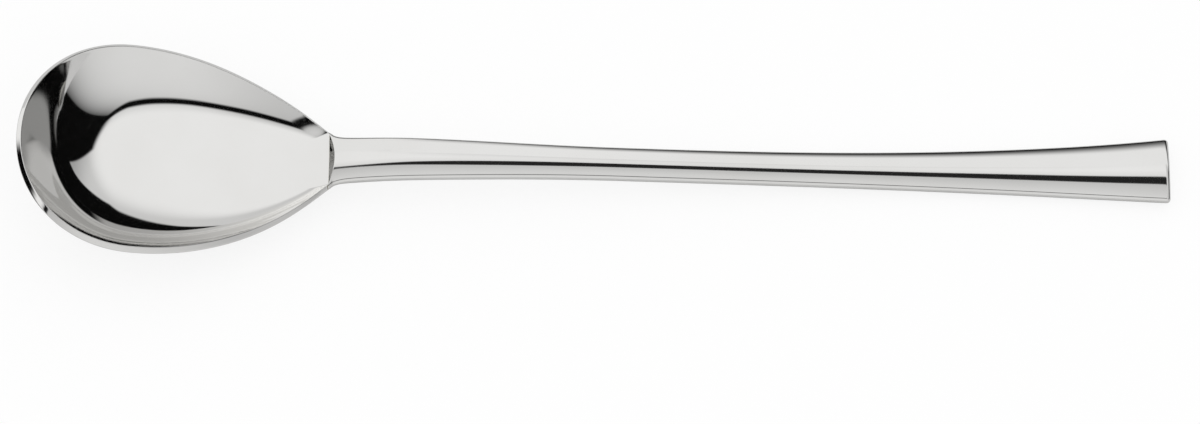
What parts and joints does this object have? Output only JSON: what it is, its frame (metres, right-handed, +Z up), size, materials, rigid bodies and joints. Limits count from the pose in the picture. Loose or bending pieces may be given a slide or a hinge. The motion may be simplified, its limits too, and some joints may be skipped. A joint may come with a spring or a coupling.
{
  "type": "tablespoon",
  "caption": "Polished steel tablespoon: deep egg-shaped bowl with a bevelled rim, brazed at a crisp neck line to a slim crowned handle that flares to a square end.",
  "frame": {"origin": "midway along the length of the spoon, on its middle plane, on the surface that it lies on", "axes": "+X runs from the tip of the bowl to the end of the handle, +Y across the spoon, +Z up out of the bowl"},
  "size_m": [0.21, 0.0438, 0.0155],
  "materials": {
    "polished_steel": "mirror-polished stainless steel with faint polishing lines",
    "braze_metal": "dressed silver-coloured brazing alloy"
  },
  "bodies": {
    "root": {"bowl": "polished_steel", "handle": "polished_steel", "neck_braze": "braze_metal"}
  },
  "joints": []
}
